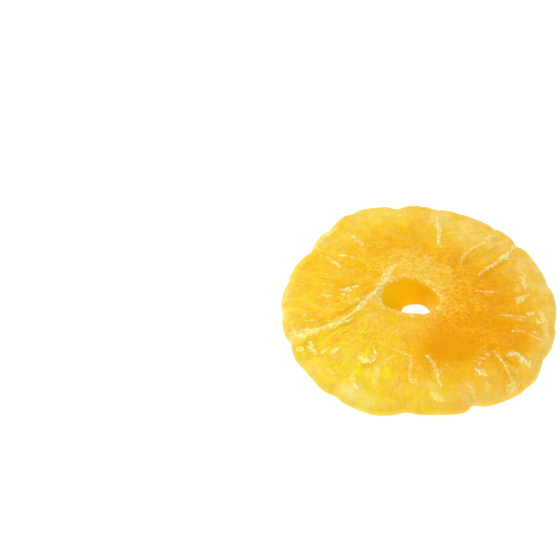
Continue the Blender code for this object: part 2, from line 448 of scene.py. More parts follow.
patches = 0.60 + 0.9 * lumps(3.0 * MM, 28.0)
fibrous = np.clip((0.12 + spots_at(FIBROUS_SPOTS)) * patches, 0.0, 1.0)
grainy = np.clip(0.10 + spots_at(GRAINY_SPOTS), 0.0, 1.0)
print("fibrous up to", round(float(fibrous.max()), 2), "and grainy up to", round(float(grainy.max()), 2))

# %% [markdown]
# ## Streaks, flakes and folds
# The marks that make this ring this one are its fissures: thin lines, mostly radial, where the flesh has
# torn a little, dried proud and caught sugar. Each is a short path of (angle, distance) points with a
# width, a height and an amount of sugar. A path could be sculpted by hand, but a list keeps each mark
# adjustable. A groove is a streak with a negative height. Noise then bends each path, frays its edge
# and breaks up its sugar. Amber is painted along either side of each streak and along each groove:
# painted shade, where the relief would cast it.

# %% Streak paths
Streak = namedtuple("Streak", "path width height sugar")
STREAKS = (
    # The long fold from the hole to the lower left rim, with the shadowed groove above it
    Streak(((170, 9.2), (180, 10.8), (190, 12.7), (199, 14.6), (204, 16.2)), 1.15, 0.15, 0.62),
    Streak(((175, 9.6), (188, 12.2), (199, 15.2), (205, 17.8), (207, 20.5)), 0.60, 0.30, 0.90),
    Streak(((205, 17.8), (207, 20.5), (208, 23.4), (207, 28.2), (205, 31.4)), 0.58, 0.30, 0.90),
    Streak(((205, 20), (206, 24), (206, 28), (204, 32), (202, 35)), 0.40, 0.12, 0.60),
    Streak(((211, 19), (210, 23), (209, 27), (208, 31)), 0.35, 0.12, 0.55),
    Streak(((206, 29), (204, 33), (201, 36.5)), 2.10, 0.08, 0.72),
    Streak(((199, 35.5), (203, 35), (207, 34.5)), 1.50, 0.08, 0.60),
    Streak(((189, 13.7), (194, 15.3), (198, 19.5), (200, 23.6)), 0.42, -0.25, 0.0),
    Streak(((196, 13.5), (203, 17), (205, 20), (206, 22)), 0.32, -0.20, 0.0),
    Streak(((212, 16), (213, 20), (212, 25)), 0.40, -0.15, 0.0),
    Streak(((182, 13.0), (188, 15.0), (192, 18.0)), 0.35, 0.12, 0.50),
    # Upper left
    Streak(((119, 33), (118, 29), (118, 25.5)), 0.80, 0.20, 0.50),
    Streak(((141, 30), (144, 25.5), (146, 23)), 0.65, 0.25, 0.75),
    Streak(((140, 30.5), (143, 27), (146, 25)), 0.40, -0.14, 0.0),
    Streak(((136, 26.5), (134, 25)), 0.60, 0.18, 0.65),
    Streak(((133, 23.8), (132, 22.8)), 0.50, 0.12, 0.40),
    Streak(((173, 20.5), (170, 17.7), (164, 15.2)), 0.80, 0.28, 0.85),
    Streak(((176, 18.5), (174, 16.8)), 0.60, 0.15, 0.60),
    Streak(((169, 21.5), (167, 18.5), (161, 15)), 0.42, -0.21, 0.0),
    Streak(((179, 25), (179, 22)), 0.40, 0.15, 0.55),
    Streak(((178, 20), (181, 16.9)), 0.50, 0.20, 0.60),
    Streak(((167, 25.4), (166, 24.8)), 0.70, 0.15, 0.55),
    Streak(((166, 36.5), (174, 35.6), (180, 36.2)), 0.9, 0.0, 0.25),
    Streak(((140, 36), (134, 37), (126, 38), (121, 38)), 1.2, 0.0, 0.45),
    # The granular line that climbs round the hole
    Streak(((102, 13.3), (117, 11.5), (134, 9.4), (145, 8.9), (158, 9.2), (170, 9.5)), 1.30, 0.15, 0.66),
    Streak(((103, 13.4), (105, 13.2)), 0.75, 0.15, 0.85),
    # The crease at the far side, and the leaf-shaped fruitlet to its right
    Streak(((72, 38.3), (70, 35), (68, 31.6), (66, 27.7), (64, 25)), 0.85, 0.15, 0.62),
    Streak(((69, 33.5), (67, 30.5)), 1.10, 0.10, 0.62),
    Streak(((39, 21.5), (43, 24), (45, 28), (45, 31.7), (43, 34.4), (45, 38.6), (43, 41)), 0.52, 0.22, 0.55),
    Streak(((43, 36), (45, 38.6), (44, 40.5)), 0.95, 0.10, 0.50),
    Streak(((40, 34), (41, 37), (39, 40)), 1.10, 0.08, 0.28),
    Streak(((22, 23), (24, 24.5), (26, 27), (28, 31), (30, 34.8), (31, 37), (33, 40)), 0.62, 0.30, 0.70),
    Streak(((30, 34.0), (31, 37.2)), 0.95, 0.12, 0.92),
    Streak(((33, 40), (36, 42.5)), 0.55, 0.10, 0.70),
    Streak(((20, 24), (23, 28), (26, 32), (28, 36)), 0.45, -0.15, 0.0),
    Streak(((37, 23), (42, 26.5), (43, 30)), 0.40, -0.10, 0.0),
    # Right
    Streak(((17, 37.3), (13, 35.6), (7, 35.1)), 0.62, 0.22, 0.75),
    Streak(((16, 35.4), (14, 35.6)), 0.50, 0.12, 0.60),
    Streak(((11, 33.4), (8, 32.5), (4, 32.7)), 0.80, 0.08, 0.32),
    Streak(((23, 33.5), (22, 33.2)), 0.60, 0.14, 0.65),
    Streak(((356, 31.6), (1, 33.3), (3, 35)), 0.95, 0.18, 0.88),
    Streak(((355, 31.4), (0, 31.8), (2, 32.6)), 0.70, 0.10, 0.55),
    Streak(((5, 19.6), (4, 22.1), (4, 24.8), (5, 27.1)), 0.42, 0.15, 0.45),
    Streak(((342, 26.5), (344, 28.7), (345, 30.9), (346, 33.5)), 0.45, 0.28, 0.80),
    Streak(((342, 31.6), (343, 33.4)), 0.55, 0.20, 0.70),
    Streak(((333, 31.0), (335, 32.8), (336, 34.4)), 0.48, 0.22, 0.72),
    Streak(((335, 36.2), (335, 37.7), (335, 39.1)), 0.50, 0.15, 0.60),
    Streak(((350, 34.0), (349, 35.7)), 0.60, 0.12, 0.60),
    Streak(((347, 36.6), (344, 37.8)), 0.48, 0.18, 0.72),
    Streak(((350, 35.4), (351, 35.8)), 0.60, 0.10, 0.70),
    Streak(((337, 38.2), (338, 36.7)), 0.55, 0.15, 0.60),
    Streak(((352, 38), (345, 39.3), (338, 40.4)), 1.20, 0.05, 0.35),
    # Lower right
    Streak(((298, 33.3), (299, 34.8), (300, 36.1)), 0.95, 0.25, 0.98),
    Streak(((298, 37.2), (298, 39.6)), 0.50, 0.10, 0.40),
    Streak(((314, 31.2), (313, 33.3), (312, 34.8), (311, 36.5), (309, 38.3), (307, 41.1)), 0.50, 0.38, 0.65),
    Streak(((316, 32.2), (315, 35), (313, 38), (311, 40)), 0.42, -0.20, 0.0),
    Streak(((309, 32.5), (308, 35), (306, 37.5)), 0.42, -0.14, 0.0),
    Streak(((310, 29.0), (309, 31.5)), 0.50, 0.22, 0.50),
    Streak(((304, 30.6), (307, 31.8)), 0.50, 0.18, 0.45),
    Streak(((316, 34.2), (320, 35.5), (320, 37.1)), 0.85, 0.18, 0.70),
    Streak(((320, 36.6), (319, 38.9), (318, 40.9)), 1.15, 0.22, 0.95),
    Streak(((307, 41.7), (304, 42.4), (309, 42.6)), 0.90, 0.10, 0.65),
    Streak(((301, 33), (302, 31.5), (300, 30.5)), 0.45, 0.18, 0.42),
    Streak(((313, 37.5), (312, 40)), 0.90, 0.0, 0.30),
    # Bottom
    Streak(((276, 24.4), (279, 27.3), (279, 30.3), (279, 33), (279, 35.2)), 0.62, 0.18, 0.66),
    Streak(((275, 37.2), (276, 38.6), (278, 39.3)), 0.90, 0.06, 0.55),
    Streak(((255, 22.6), (261, 23.5), (266, 24.6), (266, 27.8), (265, 31.4)), 0.50, 0.16, 0.42),
    Streak(((265, 31.8), (269, 33.4)), 0.75, 0.10, 0.45),
    Streak(((260, 32.4), (260, 33.2)), 0.80, 0.08, 0.45),
    Streak(((249, 28), (249, 32.4), (250, 36)), 0.95, 0.10, 0.35),
    Streak(((254, 25), (252, 28)), 0.80, 0.06, 0.30),
    Streak(((237, 28.6), (241, 29.6), (245, 28.3)), 0.85, 0.28, 0.98),
    Streak(((245, 28.8), (245, 26.1), (241, 24.1)), 0.42, 0.22, 0.65),
    Streak(((292, 37), (291, 40)), 0.90, 0.05, 0.45),
    # Lower left
    Streak(((239, 35.2), (242, 37.2), (244, 38.4)), 0.70, 0.10, 0.50),
    Streak(((211, 33.6), (214, 34.8), (218, 35.0)), 0.75, 0.20, 0.92),
    Streak(((218, 35.4), (218, 34.2)), 0.65, 0.20, 0.85),
    Streak(((220, 34.0), (220, 32.2)), 0.62, 0.22, 0.88),
    Streak(((224, 32.2), (224, 29.8)), 0.75, 0.24, 0.95),
    Streak(((210, 37.6), (213, 37)), 0.85, 0.12, 0.75),
    Streak(((228, 36.8), (232, 37.2)), 0.80, 0.08, 0.35),
    Streak(((196, 31.4), (198, 28.7)), 0.42, 0.14, 0.60),
    Streak(((192, 31.2), (192, 30.6)), 0.50, 0.14, 0.75),
)
print("streaks:", len(STREAKS), "of which grooves:", sum(streak.height < 0 for streak in STREAKS))

# %% Draw the streaks
WANDER = 0.32 * MM
BODY_FADES = (0.55, 1.20)
# The painted shade beside a streak: where it fades, and how strong it is beside the sugar.
SHADE_BESIDE_FADES = (1.40, 2.00)
RIDGE_SHARE = 0.9
END_WIDTH = 0.35
SHADE_BESIDE_SUGAR = 0.6


def distance_to_path(path, wander):
    """Each vertex's distance to a path on the plan, and how far along the path it is, from 0 to 1."""
    points = [ring_point(*point) for point in path]
    lengths = [np.linalg.norm(after - before) for before, after in zip(points, points[1:])]
    nearest = np.full(len(plan), np.inf)
    along = np.zeros(len(plan))
    gone = 0.0
    for start, end, length in zip(points, points[1:], lengths):
        way = (end - start) / length
        share = np.clip((wander - start) @ way / length, 0.0, 1.0)
        distance = np.linalg.norm(wander - start - share[:, None] * way * length, axis=1)
        closer = distance < nearest
        nearest = np.where(closer, distance, nearest)
        along = np.where(closer, (gone + share * length) / sum(lengths), along)
        gone += length
    return nearest, along


def draw_streaks():
    """How high the streaks stand at each vertex, how much sugar they hold, and where painted shade lies
    beside them and in the grooves.
    """
    wander = plan + np.column_stack((lumps(1.5 * MM, 11.0), lumps(1.5 * MM, 12.0))) * WANDER
    torn = rise(lumps(1.1 * MM, 13.0), -0.30, 0.20)
    speckled = rise(lumps(0.6 * MM, 14.0), -0.40, 0.10)
    ragged = 1 + 0.8 * lumps(0.9 * MM, 15.0)
    height = np.zeros(len(plan))
    sugar = np.zeros(len(plan))
    painted_shade_and_dashes = np.zeros(len(plan))
    for streak in STREAKS:
        distance, along = distance_to_path(streak.path, wander)
        tapered = at_least(END_WIDTH, np.sin(math.pi * np.clip(along, 0.02, 0.98)) ** 0.5)
        share = distance * ragged / (streak.width * MM * tapered)
        height += streak.height * MM * np.exp(-((share / RIDGE_SHARE) ** 2)) * at_least(0.35, torn)
        body = 1 - rise(share, *BODY_FADES)
        dried = streak.sugar * at_least(0.45, torn) * (0.60 + 0.60 * speckled)
        sugar = np.maximum(sugar, dried * body)
        # Painted shade: a darker amber band beside each streak, and along each groove, where relief casts
        # shade.
        beside = 1 - rise(share, *SHADE_BESIDE_FADES) - body
        painted_shade_and_dashes = np.maximum(painted_shade_and_dashes, SHADE_BESIDE_SUGAR * dried * beside)
        if streak.height < 0:
            painted_shade_and_dashes = np.maximum(painted_shade_and_dashes, body * at_least(0.15, speckled))
    return height, sugar, painted_shade_and_dashes


streak_height, streak_sugar, painted_shade_and_dashes = draw_streaks()
print("streaks rise to", round(float(streak_height.max()) / MM, 2), "mm")

# %% [markdown]
# ## Etching
# Between the streaks the dried face is covered with short, thin, crooked lines, like scratches in frost.
# Where smooth noise passes through zero it draws just such lines. A second, broader noise rubs most
# of them out again, so that only short strokes are left.

# %% Etched lines
def crooked_lines(points, thickness, layer):
    """1 on the lines where noise passes through zero, falling to 0 on either side."""
    return np.exp(-((field_at(points, layer) / thickness) ** 2))


strokes = crooked_lines(along_fibres(10, 2.2 * MM), 0.12, 31.0)
strokes *= rise(lumps(1.7 * MM, 32.0), -0.12, 0.18)
fibre_lines = crooked_lines(along_fibres(20, 7 * MM), 0.10, 33.0)
fibre_lines *= rise(lumps(2.6 * MM, 34.0), -0.05, 0.25)
etching = np.clip(strokes * grainy + 0.8 * fibre_lines * fibrous, 0.0, 1.0) * faces_up
print("etching covers", round(float((etching > 0.3).mean()) * 100), "percent")

# %% [markdown]
# ## Carving the flesh
# The heights are added up and each vertex moves along its own normal, as a sculpting brush would move it.
# The face and the rim take it all. The underside takes less, and none where it rests, so that the ring
# still lies flat. The last line keeps every vertex inside the solid's box.

# %% Relief
BROAD_FIBRE_HEIGHT = 0.16 * MM
FINE_FIBRE_HEIGHT = 0.10 * MM
BROAD_LUMP_HEIGHT = 0.16 * MM
FINE_LUMP_HEIGHT = 0.09 * MM
ETCHING_HEIGHT = 0.09 * MM
UNDERSIDE_SHARE = 0.5
RESTING_HEIGHT = 0.4 * MM


def carve():
    fibres = BROAD_FIBRE_HEIGHT * broad_fibres + FINE_FIBRE_HEIGHT * fine_fibres
    grain = BROAD_LUMP_HEIGHT * broad_lumps + FINE_LUMP_HEIGHT * fine_lumps * at_least(0.5, grainy)
    height = fibres * at_least(0.3, fibrous) + grain + streak_height * faces_up + ETCHING_HEIGHT * etching
    height *= 1 - (1 - UNDERSIDE_SHARE) * faces_down
    rests = ease(1 - places[:, 2] / RESTING_HEIGHT) * faces_down
    height = np.where(rests > 0, np.minimum(height, 0.0) * (1 - rests), height)
    return keep_in_box(places + normals * height[:, None])


carved = carve()
ring.data.vertices.foreach_set("co", carved.ravel())
ring.data.update()
print("relief moved vertices by up to", round(float(np.abs(carved - places).max()) / MM, 2), "mm")

# %% [markdown]
# ## Painting by place
# The colour at a place depends on how orange or lemon the flesh is, how pale it has dried, how much
# paler and more lemon the rim is painted, as painted light, whether it lies in the hole, whose wall is
# painted brighter against its shade, how etched, grainy or fibrous its face is, whether painted shade
# lies on it in a groove or beside a streak, and how much sugar sits on it. Each is stored on the mesh
# as an attribute, which a shader reads wherever the ring is turned. The orange flesh has stayed clear,
# so it takes less of the pale and of the dust.

# %% Spots of colour
TONE_SPOTS = (
    Spot(303, 21, 8.5, -1.00),
    Spot(322, 27, 9.0, -0.90),
    Spot(350, 22, 9.5, -1.00),
    Spot(17, 24, 7.5, -0.80),
    Spot(285, 22, 6.0, -0.60),
    Spot(46, 21, 5.0, -0.60),
    Spot(88, 26, 9.0, -0.40),
    Spot(110, 25, 6.0, -0.25),
    Spot(158, 20, 5.0, -0.20),
    Spot(275, 29, 5.0, -0.35),
    # Painted shade: the next spot darkens the lower right rim, where shade falls.
    Spot(305, 43, 6.0, -0.35),
    Spot(286, 42, 5.0, -0.45),
    Spot(330, 34, 7.0, -0.40),
    Spot(190, 30, 12.0, 0.30),
    Spot(225, 32, 13.0, 0.62),
    Spot(155, 33, 10.0, 0.30),
    Spot(178, 40, 6.0, 0.40),
    Spot(250, 36, 10.0, 0.52),
    Spot(275, 37, 6.0, 0.50),
    Spot(120, 34, 9.0, 0.30),
    Spot(95, 36, 8.0, 0.60),
    Spot(60, 34, 7.0, 0.20),
)
# Many of these spots lie on the rim. There the pale is painted light: the glow of light through the thin
# edge. The others are pale, cloudy dried flesh.
PALE_AND_RIM_GLOW_SPOTS = (
    Spot(53, 36, 7.0, 0.75),
    Spot(44, 32, 3.5, 0.20),
    Spot(70, 37, 4.0, 0.55),
    Spot(8, 40, 5.0, 0.75),
    Spot(24, 40, 6.0, 0.90),
    Spot(352, 41, 4.5, 0.75),
    Spot(336, 41, 4.0, 0.65),
    Spot(321, 41, 4.0, 0.60),
    Spot(300, 39, 5.0, 0.42),
    Spot(288, 38, 4.5, 0.22),
    Spot(242, 40, 3.2, 0.85),
    Spot(249, 41, 3.0, 0.40),
    Spot(202, 36.5, 3.8, 0.62),
    Spot(220, 40, 3.5, 0.30),
    Spot(190, 39, 4.0, 0.40),
    Spot(156, 39, 4.5, 0.35),
    Spot(130, 36, 5.5, 0.52),
    Spot(175, 36, 4.0, 0.40),
    Spot(72, 38, 5.0, 0.30),
    Spot(72, 40, 3.5, 0.35),
    Spot(88, 38.5, 3.5, 0.35),
    Spot(105, 39, 3.5, 0.30),
    Spot(57, 41, 4.0, 0.40),
    Spot(40, 41, 4.0, 0.45),
    Spot(334, 41.5, 3.5, 0.30),
    Spot(95, 40, 6.0, 0.42),
    Spot(110, 38, 6.0, 0.38),
    Spot(274, 35, 3.5, 0.45),
    Spot(260, 36, 3.5, 0.30),
    Spot(268, 41, 5.0, -0.20),
    Spot(289, 39, 3.0, 0.40),
    Spot(270, 15, 5.0, 0.25),
    Spot(90, 13, 4.0, 0.35),
    Spot(60, 14, 4.0, 0.30),
    Spot(20, 12, 4.0, 0.30),
    Spot(215, 14, 5.0, 0.25),
)
print("spots of tone:", len(TONE_SPOTS), "and of pale flesh:", len(PALE_AND_RIM_GLOW_SPOTS))

# %% Hole, lip and rim
HOLE_EDGE_WANDER = 0.5 * MM
HOLE_STARTS = (-0.4 * MM, 0.1 * MM)
LIP_WIDTH = 1.8 * MM
RIM_STARTS = (0.87, 1.02)

upper_side = 1 - faces_down
past_edge = from_hole - HOLE_EDGE_WANDER * lumps(1.6 * MM, 27.0)
in_hole = (1 - rise(past_edge, *HOLE_STARTS)) * upper_side
lip = np.exp(-((from_hole / LIP_WIDTH) ** 2)) * (1 - in_hole) * upper_side
near_rim = rise(out_to_rim, *RIM_STARTS)
print("the hole's wall is", round(float(in_hole.mean()) * 100), "percent of the vertices")

# %% Tone and pale flesh
TONE_FROM_BROAD_LUMPS = 0.60
TONE_FROM_FINE_LUMPS = 0.15
PAINTED_LIGHT_RIM_TONE = 0.30
TONE_FROM_FIBRES = 0.30
PAINTED_RIM_GLOW = 0.28
PALE_FROM_CLOUDS = 0.16
CLEAR_LOSES = 0.8

tone = spots_at(TONE_SPOTS) + TONE_FROM_BROAD_LUMPS * broad_lumps * (0.45 + fibrous)
tone += TONE_FROM_FINE_LUMPS * fine_lumps
# Painted light: the tone turns lemon towards the rim, to make up for the shade on its sides.
tone += PAINTED_LIGHT_RIM_TONE * near_rim
tone += TONE_FROM_FIBRES * broad_fibres * fibrous
tone = np.clip(tone, -1.0, 1.0)
not_clear = 1 - CLEAR_LOSES * rise(-tone, 0.10, 0.80)
clouds = rise(lumps(4.5 * MM, 25.0) + 0.5 * lumps(1.8 * MM, 26.0), 0.05, 0.55)
pale = spots_at(PALE_AND_RIM_GLOW_SPOTS) * (0.75 + 0.8 * lumps(2.2 * MM, 21.0))
# Painted light: the rim is painted paler, for the light that comes through its thin edge.
pale = (pale + PAINTED_RIM_GLOW * near_rim + PALE_FROM_CLOUDS * clouds) * not_clear
print("tone from", round(float(tone.min()), 2), "to", round(float(tone.max()), 2))

# %% Sugar
LIP_SUGAR = 0.70
DUST_SUGAR = 0.32

lip_sugar = LIP_SUGAR * lip * rise(lumps(0.8 * MM, 22.0), -0.15, 0.35)
clustered = rise(lumps(2.8 * MM, 24.0), 0.05, 0.35)
dusting = DUST_SUGAR * rise(lumps(0.6 * MM, 23.0), 0.22, 0.52) * clustered * upper_side * not_clear
sugar = np.maximum(np.maximum(streak_sugar * faces_up, lip_sugar), dusting) * (1 - in_hole)
print("sugar covers", round(float((sugar > 0.3).mean()) * 100), "percent")

# %% Store what the shader reads
PAINTED_SHADE_SHOWS = 0.7
FIBRE_WAY_COUNT = 30
FIBRE_WAY_LENGTH = 3.5 * MM


def store(name, values):
    attribute = ring.data.attributes.new(name, "FLOAT", "POINT")
    attribute.data.foreach_set("value", np.ascontiguousarray(values, dtype=np.float32))


paint = {
    "tone": tone,
    "pale": np.clip(pale, 0.0, 1.0),
    "in_hole": in_hole,
    "sugar": np.clip(sugar, 0.0, 1.0),
    "etching": etching,
    "grainy": grainy * faces_up,
    "fibrous": fibrous * faces_up,
    # Painted shade beside the streaks and in the grooves.
    "painted_shade_and_dashes": painted_shade_and_dashes * faces_up * PAINTED_SHADE_SHOWS,
}
for name, values in paint.items():
    store(name, values)
way = ring.data.attributes.new("fibre_way", "FLOAT_VECTOR", "POINT")
way.data.foreach_set("vector", along_fibres(FIBRE_WAY_COUNT, FIBRE_WAY_LENGTH).astype(np.float32).ravel())
print("stored:", list(paint), "and", way.name)

# %% [markdown]
# ## Candied flesh
# The flesh is half clear: light goes in, turns gold and comes out nearby, so creases glow and thin edges
# are lighter. Subsurface scattering does this, with red going far and blue hardly at all. A ramp turns
# the tone into colour, from deep orange through gold to lemon. Where the flesh has dried pale it goes
# to peach or to pale lemon, after the tone under it, and the ground between etched lines is darker.
# Along the rim the pale is also painted light: a painted glow of light coming through the thin edge.

# %% Flesh colours
DEEP_ORANGE = (0.81, 0.335, 0.001, 1.0)
GOLD = (0.87, 0.455, 0.001, 1.0)
YELLOW = (0.88, 0.550, 0.003, 1.0)
LEMON = (0.89, 0.730, 0.016, 1.0)
PALE_LEMON = (0.92, 0.77, 0.23, 1.0)
PALE_PEACH = (0.85, 0.61, 0.17, 1.0)
ETCHED_FLESH = (1.0, 0.71, 0.12, 1.0)
# Partly painted highlight: the orange of etched marks and specks on clear flesh, matched to the orange
# glints of tiny bumps.
ETCHED_AND_GLINT_ORANGE = (1.0, 0.52, 0.015, 1.0)
# Painted shade: the amber beside streaks and in grooves, also the colour of the fibres' amber dashes.
SHADE_AND_DASH_AMBER = (0.70, 0.40, 0.002, 1.0)
# The hole's wall: its own orange, painted brighter to make up for the shade inside the hole, so partly
# painted light.
HOLE_ORANGE_PAINTED_BRIGHT = (1.0, 0.57, 0.003, 1.0)
LEMON_SUGAR = (1.0, 0.92, 0.38, 1.0)
PEACH_SUGAR = (1.0, 0.80, 0.38, 1.0)
GOLD_AT = 0.40
YELLOW_AT = 0.68
NOISE_SPAN = (0.3, 0.7)
FIBRE_SWING = 0.35
GRAIN_SWING = 0.50
GROUND_DARKENS = 0.35


def read_attribute(tree, name, output="Fac"):
    return add_node(tree, "ShaderNodeAttribute", attribute_name=name).outputs[output]


def noise_value(tree, vector, scale, detail=2.0):
    sockets = {"Vector": vector, "Scale": scale, "Detail": detail}
    return add_node(tree, "ShaderNodeTexNoise", sockets).outputs["Fac"]


def tone_ramp(tree, value):
    ramp = add_node(tree, "ShaderNodeValToRGB", {"Fac": value})
    stops = ramp.color_ramp.elements
    stops[0].color = DEEP_ORANGE
    stops[1].color = LEMON
    for share, colour in ((GOLD_AT, GOLD), (YELLOW_AT, YELLOW)):
        stops.new(share).color = colour
    return ramp.outputs["Color"]


def scaled(tree, value, attribute):
    """A value times an attribute of the mesh."""
    return maths(tree, "MULTIPLY", value, read_attribute(tree, attribute))


def flesh_colour(tree, mottle, fibre, etched, ground, painted_shade_and_dashes):
    """The tone, made uneven by fibres and grains, then paler flesh and the painted rim glow, etched lines
    and flecks with painted highlights among them, and painted amber shade.
    """
    fibres = scaled(tree, spread(tree, fibre, *NOISE_SPAN, -FIBRE_SWING, FIBRE_SWING), "fibrous")
    grains = scaled(tree, spread(tree, mottle, *NOISE_SPAN, -GRAIN_SWING, GRAIN_SWING), "grainy")
    tone = maths(tree, "ADD", read_attribute(tree, "tone"), maths(tree, "ADD", fibres, grains))
    tone = maths(tree, "SUBTRACT", tone, maths(tree, "MULTIPLY", ground, GROUND_DARKENS))
    colour = tone_ramp(tree, spread(tree, tone, -1.0, 1.0))
    # Pale dried flesh, and on the rim the painted glow of light through the thin edge.
    pale = scaled(tree, spread(tree, mottle, 0.3, 0.6, 0.75, 1.1), "pale")
    pale_colour = blend_colours(tree, spread(tree, tone, -0.2, 0.7), PALE_PEACH, PALE_LEMON)
    colour = blend_colours(tree, pale, colour, pale_colour)
    line_colour = blend_colours(tree, spread(tree, tone, -0.9, 0.0), ETCHED_AND_GLINT_ORANGE, ETCHED_FLESH)
    colour = blend_colours(tree, etched, colour, line_colour)
    # Painted shade: amber beside the streaks and in the grooves, blended with the fibres' own amber dashes.
    colour = blend_colours(tree, painted_shade_and_dashes, colour, SHADE_AND_DASH_AMBER)
    # The hole's wall, painted brighter than the shade in it leaves it: partly painted light.
    return blend_colours(tree, read_attribute(tree, "in_hole"), colour, HOLE_ORANGE_PAINTED_BRIGHT)


print("flesh goes from", DEEP_ORANGE[:3], "to", LEMON[:3])

# %% [markdown]
# ## The finest scratches
# The etched lines on the mesh are about half a millimetre wide. The same trick in the shader, noise
# passing through its middle value, draws finer ones: crooked where the face is grainy, and long, read
# along the fibres, where it is fibrous. They lie in patches, as if the rest had been rubbed away.
# Where noise stands highest it leaves light flecks, partly sugar and partly painted highlights of tiny
# bumps, and where noise along the fibres stands lowest, amber dashes.

# %% Scratches and flecks
SCRATCHES_PER_METRE = 480.0
LONG_SCRATCH_FINENESS = 0.55
SCRATCH_HALF_WIDTH = 0.12
RUBBED_FINENESS = 0.7
RUBBED_FROM = (0.42, 0.56)
FLECKS_PER_METRE = 1100.0
FLECK_FROM = (0.60, 0.66)
DASH_FINENESS = 1.2
AMBER_FINENESS = 1.56
AMBER_FROM = (0.34, 0.41)
AMBER_SHOWS = 0.65
ETCHING_SHOWS = 0.6
FIBROUS_SCRATCHES_SHOW = 0.7


def scratches(tree, vector, scale, amount):
    """Lines where noise passes its middle value, and the rubbed ground that they lie on."""
    wave = noise_value(tree, vector, scale, 1.0)
    off_middle = maths(tree, "ABSOLUTE", maths(tree, "SUBTRACT", wave, 0.5), 0.0)
    line = spread(tree, off_middle, 0.0, SCRATCH_HALF_WIDTH, 1.0, 0.0)
    rubbed = spread(tree, noise_value(tree, vector, scale * RUBBED_FINENESS, 1.0), *RUBBED_FROM)
    ground = maths(tree, "MULTIPLY", rubbed, amount)
    return maths(tree, "MULTIPLY", line, ground), ground


def flecks(tree, vector, scale, amount):
    """Sparse specks, where noise stands highest. Read along the fibres, they are short dashes."""
    shown = spread(tree, noise_value(tree, vector, scale, 1.0), *FLECK_FROM)
    return maths(tree, "MULTIPLY", shown, amount)


def amber_flecks(tree, fibre_way):
    """Darker dashes, where noise along the fibres stands lowest."""
    low = noise_value(tree, fibre_way, AMBER_FINENESS, 1.0)
    return scaled(tree, spread(tree, low, *AMBER_FROM, AMBER_SHOWS, 0.0), "fibrous")


def etched_lines(tree, here, fibre_way):
    """All the lines and flecks, each where its kind of surface lies, and the ground between lines."""
    grainy = read_attribute(tree, "grainy")
    fibrous = read_attribute(tree, "fibrous")
    crooked, grainy_ground = scratches(tree, here, SCRATCHES_PER_METRE, grainy)
    fibrous_amount = maths(tree, "MULTIPLY", fibrous, FIBROUS_SCRATCHES_SHOW)
    long, fibrous_ground = scratches(tree, fibre_way, LONG_SCRATCH_FINENESS, fibrous_amount)
    # Light specks on grainy flesh: partly sugar, partly painted highlights of tiny bumps.
    specks_and_glints = flecks(tree, here, FLECKS_PER_METRE, spread(tree, grainy, 0.0, 1.0, 0.25, 1.0))
    dashes = flecks(tree, fibre_way, DASH_FINENESS, spread(tree, fibrous, 0.0, 1.0, 0.1, 0.9))
    etched = maths(tree, "MULTIPLY", read_attribute(tree, "etching"), ETCHING_SHOWS)
    for mark in (crooked, long, specks_and_glints, dashes):
        etched = maths(tree, "MAXIMUM", etched, mark)
    return etched, maths(tree, "MAXIMUM", grainy_ground, fibrous_ground)


print("crooked scratches lie about", round(1000 / SCRATCHES_PER_METRE, 1), "mm apart")

# %% [markdown]
# ## The flesh's finish
# The surface is half glossy, with a gold gloss, as syrup has dried on it. Sugar is paler and rougher than
# flesh, and its flakes come from the same noise as the finest grains. Fibres, scratches and grains that
# are too small for the mesh are bumps: they bend the light as if the surface had them.

# %% Flesh material
SCATTER_SHARE = 0.65
SCATTER_RADIUS = (1.0, 0.45, 0.08)
SCATTER_DEPTH = 0.9 * MM
GRAINS_PER_METRE = 1500.0
MOTTLES_PER_METRE = 800.0
FIBRE_FINENESS = 0.8
FLESH_ROUGHNESS = 0.28
SUGAR_ROUGHNESS = 0.65
GLOSS_TINT = (1.0, 0.76, 0.10, 1.0)
FIBRE_BUMP = 0.16 * MM
GRAIN_BUMP = 0.06 * MM
LINES_IN_BUMP = 0.6


def sugar_over(tree, flesh, grain):
    """The flesh's colour with the sugar's over it, and how much of the sugar shows."""
    flakes = spread(tree, grain, 0.42, 0.56, 0.35, 1.5)
    sugar = maths(tree, "MULTIPLY", read_attribute(tree, "sugar"), flakes, True)
    tint = spread(tree, read_attribute(tree, "tone"), -0.3, 0.3)
    return blend_colours(tree, sugar, flesh, blend_colours(tree, tint, PEACH_SUGAR, LEMON_SUGAR)), sugar


def flesh_bumps(tree, fibre, mottle, etched, grain):
    """Fibres, lines and lumps as one bump, and the finest grains as a lower one over it."""
    lumpy = spread(tree, read_attribute(tree, "grainy"), 0.0, 1.0, 0.3, 1.0)
    lines_and_lumps = maths(tree, "ADD", etched, maths(tree, "MULTIPLY", mottle, lumpy))
    height = maths(tree, "ADD", fibre, maths(tree, "MULTIPLY", lines_and_lumps, LINES_IN_BUMP))
    sockets = {"Strength": 1.0, "Distance": FIBRE_BUMP, "Height": height}
    under = add_node(tree, "ShaderNodeBump", sockets).outputs[0]
    sockets = {"Strength": 0.5, "Distance": GRAIN_BUMP, "Height": grain, "Normal": under}
    return add_node(tree, "ShaderNodeBump", sockets).outputs[0]


